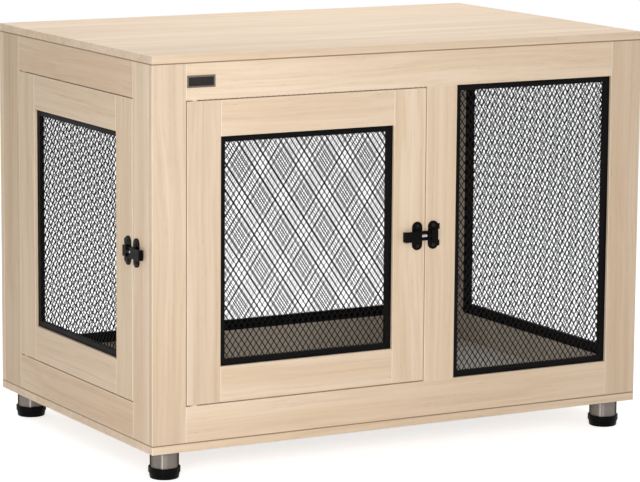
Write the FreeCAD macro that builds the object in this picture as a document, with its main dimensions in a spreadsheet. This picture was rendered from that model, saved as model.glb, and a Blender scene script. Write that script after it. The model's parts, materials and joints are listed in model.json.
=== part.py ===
import FreeCAD, Part
import math
import os

# Dog crate end table: a box of 15 mm oak-faced boards on four short steel legs. Each wall is a
# frame of stiles and rails round a window of expanded steel mesh. The front wall has a hinged
# door on the left and a fixed window on the right, and the left wall has a second, equal door.
# Each door turns on hidden pivot pins and is held shut by a sliding bolt. Four feet screw out
# of the legs to level the table.
#
# x runs along the front from left to right, y from the front to the back, z up from the floor.
# The origin is on the floor, in the middle of the space that the object takes up.

DIMENSIONS = (
    # the box
    ("width", 1000),
    ("depth", 640),
    ("body_height", 690),
    ("board", 15),
    ("edge_break", 0.8),
    ("stile", 65),
    ("centre_stile", 62),
    ("rail", 64),
    ("side_post", 60),
    ("right_back_stile", 50),
    ("side_back_stile", 72),
    ("tongue_length", 8),
    ("tongue_thickness", 5),
    ("tongue_shoulder", 14),
    # the doors
    ("door_width", 474),
    ("door_gap", 2),
    ("door_stile", 65),
    ("door_rail", 63),
    ("pivot_inset", 16),
    ("pin_radius", 3),
    ("pin_in_door", 12),
    ("pin_in_bush", 8),
    ("running_play", 0.05),
    ("bush_wall", 1.45),
    ("bush_length", 10),
    ("bush_flange", 2),
    ("stop_overlap", 8),
    ("stop_width", 22),
    ("stop_height", 30),
    ("stop_thickness", 8),
    ("stop_place", 150),
    ("rest_gap", 0.3),
    # the mesh windows
    ("lip", 6),
    ("lap", 9),
    ("lap_play", 0.5),
    ("frame_bar", 20),
    ("mesh_setback", 0.5),
    ("mesh_thickness", 1.2),
    ("strand", 2),
    ("diamond_width", 11.5),
    ("diamond_height", 16.5),
    # screws and furniture cams
    ("fit_play", 0.1),
    ("screw_radius", 1.75),
    ("screw_length", 12),
    ("screw_head_radius", 3.5),
    ("screw_head_height", 2),
    ("screw_head_rounding", 1.2),
    ("cam_radius", 7.4),
    ("cam_depth", 12),
    ("cam_reach", 24),
    ("cam_level", 120),
    ("cam_inset", 40),
    ("cam_bolt_radius", 3),
    ("cam_bolt_anchor", 10),
    # the sliding bolts
    ("latch_reach", 11.5),
    ("latch_plate_width", 20),
    ("latch_plate_height", 51),
    ("latch_plate_thickness", 2.5),
    ("latch_screw_spacing", 35),
    ("housing_offset", 7.7),
    ("keeper_offset", 5.3),
    ("keeper_ear", 3),
    ("keeper_ear_low", 10),
    ("keeper_ear_high", 20),
    ("guide_block_height", 19.2),
    ("guide_block_rise", 9),
    ("guide_block_inset", 3.5),
    ("boss_radius", 5.6),
    ("boss_offset", 8),
    ("boss_rise", 4),
    ("guide_bar", 4),
    ("guide_bar_base", 1),
    ("guide_bar_rise", 6.5),
    ("rod_radius", 3),
    ("rod_level", 4.8),
    ("rod_tail", 4),
    ("slide_play", 0.3),
    ("socket_wall", 0.7),
    ("socket_depth", 18),
    ("thumb_offset", 12.7),
    ("thumb_length", 35),
    ("thumb_lip", 7),
    ("thumb_lip_base", 3),
    ("stem_width", 3.6),
    ("stem_length", 8),
    # the nameplate
    ("nameplate_width", 54),
    ("nameplate_height", 21),
    ("nameplate_thickness", 2),
    ("nameplate_rim", 3),
    ("nameplate_inset", 66),
    ("inlay_pocket", 1),
    ("inlay_thickness", 0.8),
    # the legs and feet
    ("leg_height", 50),
    ("leg_radius", 25.5),
    ("leg_wall", 1.5),
    ("leg_inset_across", 42),
    ("leg_inset_back", 38),
    ("leg_cap", 3),
    ("leg_screw_circle", 14),
    ("nut_plate_thickness", 4),
    ("nut_plate_level", 24),
    ("access_radius", 4.5),
    ("foot_radius", 25.3),
    ("foot_waist_radius", 27),
    ("collar_radius", 28.2),
    ("collar_play", 0.35),
    ("collar_height", 9),
    ("foot_height", 20),
    ("foot_shoulder", 12),
    ("foot_bevel", 1),
    ("stud_radius", 5),
    ("stud_length", 28),
    ("stud_root", 1),
)

# Places worked out from the dimensions. Each may use the ones above it.
PLACES = (
    ("left_face", "(sizes.latch_reach - sizes.width) / 2"),
    ("right_face", "left_face + sizes.width"),
    ("front_face", "(sizes.latch_reach - sizes.depth) / 2"),
    ("back_face", "front_face + sizes.depth"),
    ("left_inside", "left_face + sizes.board"),
    ("right_inside", "right_face - sizes.board"),
    ("front_inside", "front_face + sizes.board"),
    ("back_inside", "back_face - sizes.board"),
    ("underside", "sizes.leg_height + 0"),
    ("cabin_floor", "underside + sizes.board"),
    ("opening_bottom", "cabin_floor + sizes.rail"),
    ("top_face", "underside + sizes.body_height"),
    ("cabin_roof", "top_face - sizes.board"),
    ("opening_top", "cabin_roof - sizes.rail"),
    ("door_bottom", "opening_bottom + sizes.door_gap"),
    ("door_top", "opening_top - sizes.door_gap"),
    ("door_window_bottom", "door_bottom + sizes.door_rail"),
    ("door_window_top", "door_top - sizes.door_rail"),
    ("latch_level", "(door_bottom + door_top) / 2"),
    ("left_stile_edge", "left_face + sizes.stile"),
    ("right_stile_edge", "right_face - sizes.stile"),
    ("front_door_left", "left_stile_edge + sizes.door_gap"),
    ("front_door_right", "front_door_left + sizes.door_width"),
    ("centre_stile_left", "front_door_right + sizes.door_gap"),
    ("window_left", "centre_stile_left + sizes.centre_stile"),
    ("side_post_edge", "front_inside + sizes.side_post"),
    ("side_door_front", "side_post_edge + sizes.door_gap"),
    ("left_back_stile_edge", "back_inside - sizes.side_back_stile"),
    ("side_door_back", "left_back_stile_edge - sizes.door_gap"),
    ("right_window_back", "back_inside - sizes.right_back_stile"),
)

# The four walls: the axis that each runs along, its outer face, and which way is inwards.
WALLS = {
    "front": ("x", "places.front_face", 1),
    "back": ("x", "places.back_face", -1),
    "left": ("y", "places.left_face", 1),
    "right": ("y", "places.right_face", -1),
}
MOST_GAPS = 300  # in one mesh sheet: every third or fourth strand of the real mesh is kept
OVERCUT = 1  # how far a cutter runs past the face that it opens
UP = (0, 0, 1)
DOWN = (0, 0, -1)

doc = FreeCAD.newDocument("dog_crate_end_table")
sizes = doc.addObject("Spreadsheet::Sheet", "sizes")
for row, (alias, number) in enumerate(DIMENSIONS, start=1):
    sizes.set(f"A{row}", alias.replace("_", " "))
    sizes.set(f"B{row}", str(number))
    sizes.setAlias(f"B{row}", alias)
places = doc.addObject("Spreadsheet::Sheet", "places")
for row, (alias, formula) in enumerate(PLACES, start=1):
    places.set(f"A{row}", alias.replace("_", " "))
    places.set(f"B{row}", f"={formula}")
    places.setAlias(f"B{row}", alias)
doc.recompute()

sub_parts = []  # (object, how many solids it holds)
corners = {}  # the expressions of each body's own origin
screw_seats = {"cabinet_screws": [], "front_door_screws": [], "side_door_screws": [], "leg_screws": []}
cam_seats = []
cam_bolt_seats = []


def size(alias):
    return float(sizes.get(alias))


def hand_in(thing, solids=1):
    thing.Label = thing.Name
    sub_parts.append((thing, solids))
    return thing


def slab(wall, along, inwards, upwards):
    """The low and high corner of a box in a wall, as expressions. Each argument is (from, to)."""
    axis, face, sign = WALLS[wall]
    if sign > 0:
        near, far = (f"{face} + ({depth})" for depth in inwards)
    else:
        near, far = (f"{face} - ({depth})" for depth in reversed(inwards))
    if axis == "x":
        return (along[0], near, upwards[0]), (along[1], far, upwards[1])
    return (near, along[0], upwards[0]), (far, along[1], upwards[1])


def wall_point(wall, along, inwards, up):
    axis, face, sign = WALLS[wall]
    depth = f"{face} {'+' if sign > 0 else '-'} ({inwards})"
    return (along, depth, up) if axis == "x" else (depth, along, up)


def outwards(wall):
    axis, _, sign = WALLS[wall]
    return (0, -sign, 0) if axis == "x" else (-sign, 0, 0)


def bind_box(feature, box, origin):
    low, high = box
    for name, start, end in zip(("Length", "Width", "Height"), low, high):
        feature.setExpression(name, f"({end}) - ({start})")
    bind_place(feature, low, origin)


def bind_place(feature, point, origin=("0", "0", "0")):
    for axis, value, zero in zip("xyz", point, origin):
        feature.setExpression(f"Placement.Base.{axis}", f"({value}) - ({zero})")


def block(label, box, edge=None, adds=(), cuts=()):
    """A piece cut from one rectangular blank, whose edges are broken before it is worked."""
    body = doc.addObject("PartDesign::Body", label)
    corners[label] = box[0]
    bind_place(body, box[0])
    blank = body.newObject("PartDesign::AdditiveBox", f"{label}_blank")
    bind_box(blank, box, box[0])
    if edge:
        broken = body.newObject("PartDesign::Chamfer", f"{label}_edges")
        broken.Base = (blank, [""])
        broken.UseAllEdges = True
        broken.setExpression("Size", edge)
    for number, extra in enumerate(adds, start=1):
        bind_box(body.newObject("PartDesign::AdditiveBox", f"{label}_add{number}"), extra, box[0])
    for number, cut in enumerate(cuts, start=1):
        bind_box(body.newObject("PartDesign::SubtractiveBox", f"{label}_cut{number}"), cut, box[0])
    return body


def timber(label, box, adds=(), cuts=()):
    return block(label, box, "sizes.edge_break", adds, cuts)


def drill(body, point, direction, radius, depth):
    hole = body.newObject("PartDesign::SubtractiveCylinder", f"{body.Name}_hole")
    hole.setExpression("Radius", radius)
    hole.setExpression("Height", depth)
    hole.Placement.Rotation = FreeCAD.Rotation(FreeCAD.Vector(*UP), FreeCAD.Vector(*direction))
    bind_place(hole, point, corners[body.Name])
    return hole


def pair(label, first, second):
    both = doc.addObject("Part::Compound", label)
    both.Links = [first, second]
    return hand_in(both, 2)


# ---- walls: tongued rails between full-height stiles, rebated inside round each window ----

FULL_HEIGHT = ("places.cabin_floor", "places.cabin_roof")
THROUGH = ("0", "sizes.board")
TOP_RAIL = ("places.opening_top", "places.cabin_roof")
BOTTOM_RAIL = ("places.cabin_floor", "places.opening_bottom")
OPENING = ("places.opening_bottom", "places.opening_top")


def tongue(wall, along, upwards, outer_edge_up):
    """A rail's tongue, which runs on into the stile at each end. The rebated edge stays clear."""
    low, high = upwards
    grip = (f"{low} + sizes.tongue_shoulder / 2", f"{high} - sizes.tongue_shoulder")
    if outer_edge_up:
        grip = (f"{low} + sizes.tongue_shoulder", f"{high} - sizes.tongue_shoulder / 2")
    middle = ("(sizes.board - sizes.tongue_thickness) / 2", "(sizes.board + sizes.tongue_thickness) / 2")
    reach = (f"{along[0]} - sizes.tongue_length", f"{along[1]} + sizes.tongue_length")
    return slab(wall, reach, middle, grip)


def rebate(wall, along, upwards):
    """The step that a window's steel frame lies in, cut from the inside."""
    grow = "(sizes.lap + sizes.lap_play)"
    across = (f"{along[0]} - {grow}", f"{along[1]} + {grow}")
    rise = (f"{upwards[0]} - {grow}", f"{upwards[1]} + {grow}")
    return slab(wall, across, ("sizes.lip", f"sizes.board + {OVERCUT}"), rise)


FRONT_DOOR = ("places.front_door_left", "places.front_door_right")
SIDE_DOOR = ("places.side_door_front", "places.side_door_back")
DOOR_RISE = ("places.door_bottom", "places.door_top")
DOOR_GLAZING = ("places.door_window_bottom", "places.door_window_top")
FRONT_WINDOW = ("places.window_left", "places.right_stile_edge")
BACK_WINDOW = ("places.left_stile_edge", "places.right_stile_edge")
RIGHT_WINDOW = ("places.side_post_edge", "places.right_window_back")


def inside_stiles(door):
    return f"{door[0]} + sizes.door_stile", f"{door[1]} - sizes.door_stile"


def panel_rails(wall, along, cuts=()):
    """The top and bottom rail of a wall, with the tongues that its stiles are mortised for."""
    rails = []
    tongues = []
    for name, rise, outer_up in (("top", TOP_RAIL, True), ("bottom", BOTTOM_RAIL, False)):
        tongues.append(tongue(wall, along, rise, outer_up))
        box = slab(wall, along, THROUGH, rise)
        rails.append(timber(f"{wall}_{name}_rail", box, tongues[-1:], cuts))
    return rails, tongues


SHEET = (("places.left_face", "places.right_face"), ("places.front_face", "places.back_face"))
top_board = hand_in(
    timber(
        "top_board",
        ((SHEET[0][0], SHEET[1][0], "places.cabin_roof"), (SHEET[0][1], SHEET[1][1], "places.top_face")),
    )
)
bottom_board = hand_in(
    timber(
        "bottom_board",
        ((SHEET[0][0], SHEET[1][0], "places.underside"), (SHEET[0][1], SHEET[1][1], "places.cabin_floor")),
    )
)

front_rebate = rebate("front", FRONT_WINDOW, OPENING)
front_span = ("places.left_stile_edge", "places.right_stile_edge")
(front_top_rail, front_bottom_rail), front_tongues = panel_rails("front", front_span, [front_rebate])
hand_in(front_top_rail)
hand_in(front_bottom_rail)
front_left_stile = hand_in(
    timber(
        "front_left_stile",
        slab("front", ("places.left_face", "places.left_stile_edge"), THROUGH, FULL_HEIGHT),
        cuts=front_tongues,
    )
)
front_right_stile = hand_in(
    timber(
        "front_right_stile",
        slab("front", ("places.right_stile_edge", "places.right_face"), THROUGH, FULL_HEIGHT),
        cuts=[*front_tongues, front_rebate],
    )
)
front_centre_stile = hand_in(
    timber(
        "front_centre_stile",
        slab("front", ("places.centre_stile_left", "places.window_left"), THROUGH, OPENING),
        cuts=[front_rebate],
    )
)

back_rebate = rebate("back", BACK_WINDOW, OPENING)
(back_top_rail, back_bottom_rail), back_tongues = panel_rails("back", BACK_WINDOW, [back_rebate])
pair("back_rails", back_top_rail, back_bottom_rail)
back_left_stile = timber(
    "back_left_stile",
    slab("back", ("places.left_face", "places.left_stile_edge"), THROUGH, FULL_HEIGHT),
    cuts=[*back_tongues, back_rebate],
)
back_right_stile = timber(
    "back_right_stile",
    slab("back", ("places.right_stile_edge", "places.right_face"), THROUGH, FULL_HEIGHT),
    cuts=[*back_tongues, back_rebate],
)
pair("back_stiles", back_left_stile, back_right_stile)

left_span = ("places.side_post_edge", "places.left_back_stile_edge")
(left_top_rail, left_bottom_rail), left_tongues = panel_rails("left", left_span)
pair("left_rails", left_top_rail, left_bottom_rail)
left_front_post = hand_in(
    timber(
        "left_front_post",
        slab("left", ("places.front_inside", "places.side_post_edge"), THROUGH, FULL_HEIGHT),
        cuts=left_tongues,
    )
)
left_back_stile = hand_in(
    timber(
        "left_back_stile",
        slab("left", ("places.left_back_stile_edge", "places.back_inside"), THROUGH, FULL_HEIGHT),
        cuts=left_tongues,
    )
)

right_rebate = rebate("right", RIGHT_WINDOW, OPENING)
(right_top_rail, right_bottom_rail), right_tongues = panel_rails("right", RIGHT_WINDOW, [right_rebate])
pair("right_rails", right_top_rail, right_bottom_rail)
right_front_stile = timber(
    "right_front_stile",
    slab("right", ("places.front_inside", "places.side_post_edge"), THROUGH, FULL_HEIGHT),
    cuts=[*right_tongues, right_rebate],
)
right_back_stile = timber(
    "right_back_piece",
    slab("right", ("places.right_window_back", "places.back_inside"), THROUGH, FULL_HEIGHT),
    cuts=[*right_tongues, right_rebate],
)
pair("right_stiles", right_front_stile, right_back_stile)


# ---- doors: the same frame, hung at one side ----


def door(name, wall, along, hinge_first):
    """A door's hinge stile, latch stile and rails, round its rebated window."""
    window = inside_stiles(along)
    recess = rebate(wall, window, DOOR_GLAZING)
    rails = []
    tongues = []
    for place, rise, outer_up in (
        ("top", (DOOR_GLAZING[1], DOOR_RISE[1]), True),
        ("bottom", (DOOR_RISE[0], DOOR_GLAZING[0]), False),
    ):
        tongues.append(tongue(wall, window, rise, outer_up))
        box = slab(wall, window, THROUGH, rise)
        rails.append(timber(f"{name}_{place}_rail", box, tongues[-1:], [recess]))
    pair(f"{name}_rails", *rails)
    order = ("hinge", "latch") if hinge_first else ("latch", "hinge")
    spans = ((along[0], window[0]), (window[1], along[1]))
    stiles = {}
    for role, span in zip(order, spans):
        box = slab(wall, span, THROUGH, DOOR_RISE)
        stiles[role] = hand_in(timber(f"{name}_{role}_stile", box, cuts=[*tongues, recess]))
    sides = [stiles[role] for role in order]
    return window, rails, sides, stiles


front_door = door("front_door", "front", FRONT_DOOR, True)
side_door = door("side_door", "left", SIDE_DOOR, False)


# ---- mesh windows: a flat steel frame in the rebate, with expanded mesh welded inside it ----

SCREW_HOLE = "sizes.screw_radius + sizes.fit_play"
mesh_openings = []  # (name, wall, the frame's body, the feature that opens it)


def mesh_window(name, wall, along, upwards, timbers, across, group):
    """timbers: the pieces on the low side, high side, top and bottom that the frame screws to."""
    low_side, high_side, top, bottom = timbers
    outer = [(f"{a} - sizes.lap", f"{b} + sizes.lap") for a, b in (along, upwards)]
    inner = [(f"{a} + sizes.frame_bar", f"{b} - sizes.frame_bar") for a, b in outer]
    depth = ("sizes.lip", "sizes.board")
    past = (f"sizes.lip - {OVERCUT}", f"sizes.board + {OVERCUT}")
    frame = hand_in(
        block(
            f"{name}_frame",
            slab(wall, outer[0], depth, outer[1]),
            cuts=[slab(wall, inner[0], past, inner[1])],
        )
    )
    mesh_openings.append((name, wall, frame, frame.Group[-1]))
    seats = []
    for share in ("1 / 6", "1 / 2", "5 / 6"):
        up = f"{upwards[0]} + (({upwards[1]}) - ({upwards[0]})) * {share}"
        seats.append((low_side, f"{along[0]} - sizes.lap / 2", up))
        seats.append((high_side, f"{along[1]} + sizes.lap / 2", up))
    for number in range(across):
        share = f"{2 * number + 1} / {2 * across}"
        place = f"{along[0]} + (({along[1]}) - ({along[0]})) * {share}"
        seats.append((top, place, f"{upwards[1]} + sizes.lap / 2"))
        seats.append((bottom, place, f"{upwards[0]} - sizes.lap / 2"))
    for piece, place, up in seats:
        point = wall_point(wall, place, "sizes.board", up)
        depth_in = "sizes.screw_length + sizes.fit_play"
        drill(frame, point, outwards(wall), SCREW_HOLE, depth_in)
        hole = drill(piece, point, outwards(wall), SCREW_HOLE, depth_in)
        screw_seats[group].append((piece, hole, 0))
    return frame


mesh_window(
    "front_mesh",
    "front",
    FRONT_WINDOW,
    OPENING,
    (front_centre_stile, front_right_stile, front_top_rail, front_bottom_rail),
    2,
    "cabinet_screws",
)
mesh_window(
    "back_mesh",
    "back",
    BACK_WINDOW,
    OPENING,
    (back_left_stile, back_right_stile, back_top_rail, back_bottom_rail),
    4,
    "cabinet_screws",
)
mesh_window(
    "right_mesh",
    "right",
    RIGHT_WINDOW,
    OPENING,
    (right_front_stile, right_back_stile, right_top_rail, right_bottom_rail),
    2,
    "cabinet_screws",
)
for name, wall, (window, rails, sides, _) in (
    ("front_door", "front", front_door),
    ("side_door", "left", side_door),
):
    timbers = (*sides, *rails)
    mesh_window(f"{name}_mesh", wall, window, DOOR_GLAZING, timbers, 2, f"{name}_screws")


def clip(points, keep):
    """A convex polygon cut to where keep, a function linear in the point, isn't negative."""
    result = []
    for here, following in zip(points, points[1:] + points[:1]):
        inside, next_inside = keep(here), keep(following)
        if inside >= 0:
            result.append(here)
        if inside * next_inside < 0:
            share = inside / (inside - next_inside)
            result.append(tuple(a + (b - a) * share for a, b in zip(here, following)))
    return result


def diamond_gaps(across, up):
    """The gaps of a sheet of expanded mesh, as polygons, cut off where they meet its edge."""
    margin = size("strand") / 2
    thinning = 1
    while True:
        columns = max(1, round(across / (size("diamond_width") * thinning)))
        rows = max(1, round(up / (size("diamond_height") * thinning)))
        if columns * rows + (columns + 1) * (rows + 1) <= MOST_GAPS:
            break
        thinning += 1
    half_width, half_height = across / columns / 2, up / rows / 2
    shrink = 1 - margin * math.hypot(half_width, half_height) / (half_width * half_height)
    reach_across, reach_up = half_width * shrink, half_height * shrink
    gaps = []
    for row in range(2 * rows + 1):
        for column in range(2 * columns + 1):
            if (row + column) % 2:
                continue
            u, v = column * half_width, row * half_height
            gap = [(u - reach_across, v), (u, v - reach_up), (u + reach_across, v), (u, v + reach_up)]
            gap = clip(gap, lambda p: p[0] - margin)
            gap = clip(gap, lambda p: across - margin - p[0])
            gap = clip(gap, lambda p: p[1] - margin)
            gap = clip(gap, lambda p: up - margin - p[1])
            gaps.append(gap)
    return gaps


def mesh_sheet(name, wall, frame, opening):
    """The sheet fills the frame's opening edge to edge, just behind the frame's front."""
    axis, _, sign = WALLS[wall]
    across = (opening.Length if axis == "x" else opening.Width).Value
    up = opening.Height.Value
    corner = frame.Placement.multVec(opening.Placement.Base)
    thickness = size("mesh_thickness")
    inset = OVERCUT + size("mesh_setback")
    through = (opening.Width if axis == "x" else opening.Length).Value
    depth = inset if sign > 0 else through - inset - thickness
    outline = [(0, 0), (across, 0), (across, up), (0, up)]
    wires = []
    for points in [outline, *diamond_gaps(across, up)]:
        if axis == "x":
            path = [FreeCAD.Vector(u, depth, v) for u, v in points]
        else:
            path = [FreeCAD.Vector(depth, u, v) for u, v in points]
        wires.append(Part.makePolygon([*path, path[0]]))
    face = Part.makeFace(wires, "Part::FaceMakerCheese")
    push = FreeCAD.Vector(0, thickness, 0) if axis == "x" else FreeCAD.Vector(thickness, 0, 0)
    sheet = doc.addObject("Part::Feature", name)
    sheet.Shape = face.extrude(push)
    sheet.Placement.Base = corner
    return hand_in(sheet)


# ---- hidden pivots: a pin in each end of the hinge stile, in a flanged bush in the rail ----

BUSH_RADIUS = "sizes.pin_radius + sizes.running_play + sizes.bush_wall"
bushes = []


def pivot(name, wall, place, hinge_stile, top_rail, bottom_rail):
    pins = []
    for end, rail_piece, edge, rail_edge, way in (
        ("top", top_rail, DOOR_RISE[1], OPENING[1], 1),
        ("bottom", bottom_rail, DOOR_RISE[0], OPENING[0], -1),
    ):
        sign = "+" if way > 0 else "-"
        into_door = DOWN if way > 0 else UP
        into_rail = UP if way > 0 else DOWN
        mid = "sizes.board / 2"
        drill(
            hinge_stile,
            wall_point(wall, place, mid, edge),
            into_door,
            "sizes.pin_radius + sizes.fit_play",
            "sizes.pin_in_door + sizes.fit_play",
        )
        drill(
            rail_piece,
            wall_point(wall, place, mid, rail_edge),
            into_rail,
            f"{BUSH_RADIUS} + sizes.fit_play",
            "sizes.bush_length + sizes.fit_play",
        )
        pin = doc.addObject("Part::Cylinder", f"{name}_{end}_pin")
        pin.setExpression("Radius", "sizes.pin_radius")
        pin.setExpression("Height", "sizes.pin_in_door + sizes.door_gap + sizes.pin_in_bush")
        start = f"{edge} - sizes.pin_in_door" if way > 0 else f"{edge} - sizes.door_gap - sizes.pin_in_bush"
        bind_place(pin, wall_point(wall, place, mid, start))
        pins.append(pin)
        bush = doc.addObject("PartDesign::Body", f"{name}_{end}_bush")
        corners[bush.Name] = wall_point(wall, place, mid, rail_edge)
        bind_place(bush, corners[bush.Name])
        sleeve = bush.newObject("PartDesign::AdditiveCylinder", f"{bush.Name}_sleeve")
        sleeve.setExpression("Radius", BUSH_RADIUS)
        sleeve.setExpression("Height", "sizes.bush_length")
        flange = bush.newObject("PartDesign::AdditiveCylinder", f"{bush.Name}_flange")
        flange.setExpression("Radius", f"{BUSH_RADIUS} + sizes.bush_flange")
        flange.setExpression("Height", "sizes.door_gap - sizes.rest_gap")
        if way > 0:
            flange.setExpression("Placement.Base.z", "sizes.rest_gap - sizes.door_gap")
        else:
            sleeve.setExpression("Placement.Base.z", "-sizes.bush_length")
        bore = bush.newObject("PartDesign::SubtractiveCylinder", f"{bush.Name}_bore")
        bore.setExpression("Radius", "sizes.pin_radius + sizes.running_play")
        bore.setExpression("Height", "2 * sizes.bush_length")
        bore.setExpression("Placement.Base.z", "-sizes.bush_length")
        bushes.append(bush)
    pair(f"{name}_pins", *pins)


pivot(
    "front_door",
    "front",
    "places.front_door_left + sizes.pivot_inset",
    front_door[3]["hinge"],
    front_top_rail,
    front_bottom_rail,
)
pivot(
    "side_door",
    "left",
    "places.side_door_back - sizes.pivot_inset",
    side_door[3]["hinge"],
    left_top_rail,
    left_bottom_rail,
)
pivot_bushes = doc.addObject("Part::Compound", "pivot_bushes")
pivot_bushes.Links = bushes
hand_in(pivot_bushes, 4)

# Door stops: small blocks inside, which the free edge of each door closes against.
stops = []
for name, wall, post, edge, door_edge, sign in (
    ("front", "front", front_centre_stile, "places.centre_stile_left", FRONT_DOOR[1], 1),
    ("side", "left", left_front_post, "places.side_post_edge", SIDE_DOOR[0], -1),
):
    on_post = (edge, f"{edge} + sizes.stop_width")
    behind_door = (f"{door_edge} - sizes.stop_overlap", edge)
    if sign < 0:
        on_post = (f"{edge} - sizes.stop_width", edge)
        behind_door = (edge, f"{door_edge} + sizes.stop_overlap")
    for level, way in (("low", "-"), ("high", "+")):
        middle = f"places.latch_level {way} sizes.stop_place"
        rise = (f"{middle} - sizes.stop_height / 2", f"{middle} + sizes.stop_height / 2")
        inner = "sizes.board + sizes.stop_thickness"
        stop = block(
            f"{name}_{level}_stop",
            slab(wall, on_post, ("sizes.board", inner), rise),
            adds=[slab(wall, behind_door, ("sizes.board + sizes.rest_gap", inner), rise)],
        )
        point = wall_point(wall, f"(({on_post[0]}) + ({on_post[1]})) / 2", inner, middle)
        depth_in = "sizes.screw_length + sizes.fit_play"
        drill(stop, point, outwards(wall), SCREW_HOLE, depth_in)
        hole = drill(post, point, outwards(wall), SCREW_HOLE, depth_in)
        screw_seats["cabinet_screws"].append((post, hole, 0))
        stops.append(stop)
door_stops = doc.addObject("Part::Compound", "door_stops")
door_stops.Links = stops
hand_in(door_stops, len(stops))

# ---- cams: each bolt stands in one board and is drawn into a cam in the next ----


def cam(holder, anchor, joint, into_holder, into_anchor, cam_point, cam_way):
    """joint is the point on the joint face. cam_point is the mouth of the cam's bore."""
    bore_radius = "sizes.cam_radius + sizes.fit_play"
    bore = drill(holder, cam_point, cam_way, bore_radius, "sizes.cam_depth + sizes.fit_play")
    bolt_radius = "sizes.cam_bolt_radius + sizes.fit_play"
    bolt_hole = drill(holder, joint, into_holder, bolt_radius, "sizes.cam_reach + sizes.fit_play")
    drill(anchor, joint, into_anchor, bolt_radius, "sizes.cam_bolt_anchor + sizes.fit_play")
    cam_seats.append((holder, bore))
    cam_bolt_seats.append((holder, bolt_hole))


CORNER_LEVELS = ("places.cabin_floor + sizes.cam_level", "places.cabin_roof - sizes.cam_level")
for wall, front_piece, back_piece, front_stile, back_stile in (
    ("left", left_front_post, left_back_stile, front_left_stile, back_left_stile),
    ("right", right_front_stile, right_back_stile, front_right_stile, back_right_stile),
):
    for level in CORNER_LEVELS:
        for holder, anchor, joint_face, way in (
            (front_piece, front_stile, "places.front_inside", 1),
            (back_piece, back_stile, "places.back_inside", -1),
        ):
            reach = f"{joint_face} {'+' if way > 0 else '-'} sizes.cam_reach"
            cam(
                holder,
                anchor,
                wall_point(wall, joint_face, "sizes.board / 2", level),
                (0, way, 0),
                (0, -way, 0),
                wall_point(wall, reach, "sizes.board", level),
                outwards(wall),
            )
for wall, left_piece, right_piece in (
    ("front", front_left_stile, front_right_stile),
    ("back", back_left_stile, back_right_stile),
):
    for holder, place in (
        (left_piece, "places.left_face + sizes.cam_inset"),
        (right_piece, "places.right_face - sizes.cam_inset"),
    ):
        for anchor, joint_face, way in (
            (top_board, "places.cabin_roof", -1),
            (bottom_board, "places.cabin_floor", 1),
        ):
            reach = f"{joint_face} {'+' if way > 0 else '-'} sizes.cam_reach"
            cam(
                holder,
                anchor,
                wall_point(wall, place, "sizes.board / 2", joint_face),
                (0, 0, way),
                (0, 0, -way),
                wall_point(wall, place, "sizes.board", reach),
                outwards(wall),
            )

# ---- sliding bolts: drawn along x from the seam, y along the plates, z out from the face ----

LATCHES = {
    "front": (
        FreeCAD.Rotation(FreeCAD.Vector(1, 0, 0), FreeCAD.Vector(0, 0, 1), FreeCAD.Vector(0, -1, 0), "XYZ"),
        ("places.front_door_right + sizes.door_gap / 2", "places.front_face", "places.latch_level"),
    ),
    "side": (
        FreeCAD.Rotation(FreeCAD.Vector(0, 1, 0), FreeCAD.Vector(0, 0, -1), FreeCAD.Vector(-1, 0, 0), "XYZ"),
        ("places.left_face", "places.side_door_front - sizes.door_gap / 2", "places.latch_level"),
    ),
}
ALONG = FreeCAD.Rotation(FreeCAD.Vector(*UP), FreeCAD.Vector(1, 0, 0))
HALF_BLOCK = "sizes.guide_block_height / 2"
SOCKET_RADIUS = "sizes.rod_radius + sizes.slide_play + sizes.socket_wall"
SEAM_SIDE = "sizes.slide_play"


def latch_body(label, latch):
    rotation, seam = LATCHES[latch]
    body = doc.addObject("PartDesign::Body", label)
    body.Placement.Rotation = rotation
    bind_place(body, seam)
    return hand_in(body)


def latch_box(body, kind, along, across, rise):
    box = body.newObject(f"PartDesign::{kind}Box", f"{body.Name}_box")
    bind_box(box, tuple(zip(along, across, rise)), ("0", "0", "0"))
    return box


def latch_cylinder(body, kind, radius, length, place, rotation=None):
    round_piece = body.newObject(f"PartDesign::{kind}Cylinder", f"{body.Name}_round")
    round_piece.setExpression("Radius", radius)
    round_piece.setExpression("Height", length)
    if rotation:
        round_piece.Placement.Rotation = rotation
    bind_place(round_piece, place)
    return round_piece


def latch_plate(body, near, far, guides, ears=()):
    """A pill-shaped plate with two screw holes, a raised block and two bars up to the seam."""
    middle = f"(({near}) + ({far})) / 2"
    radius = "sizes.latch_plate_width / 2"
    straight = "(sizes.latch_plate_height - sizes.latch_plate_width) / 2"
    thickness = "sizes.latch_plate_thickness"
    latch_box(body, "Additive", (near, far), (f"-{straight}", straight), ("0", thickness))
    for sign in ("-", ""):
        latch_cylinder(body, "Additive", radius, thickness, (middle, f"{sign}{straight}", "0"))
    block_along = (f"{near} + sizes.guide_block_inset", f"{far} - sizes.guide_block_inset")
    latch_box(body, "Additive", block_along, (f"-{HALF_BLOCK}", HALF_BLOCK), ("0", "sizes.guide_block_rise"))
    inner = f"{SOCKET_RADIUS} + 2 * sizes.fit_play"
    rise = ("sizes.guide_bar_base", "sizes.guide_bar_rise")
    for across in ((inner, f"{inner} + sizes.guide_bar"), (f"-({inner}) - sizes.guide_bar", f"-({inner})")):
        latch_box(body, "Additive", guides, across, rise)
    for along, across in ears:
        latch_box(body, "Additive", along, across, ("0", thickness))
    for sign in ("-", ""):
        spot = (middle, f"{sign}sizes.latch_screw_spacing / 2", f"-{OVERCUT}")
        latch_cylinder(body, "Subtractive", SCREW_HOLE, f"{thickness} + 2 * {OVERCUT}", spot)
    return middle


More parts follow.
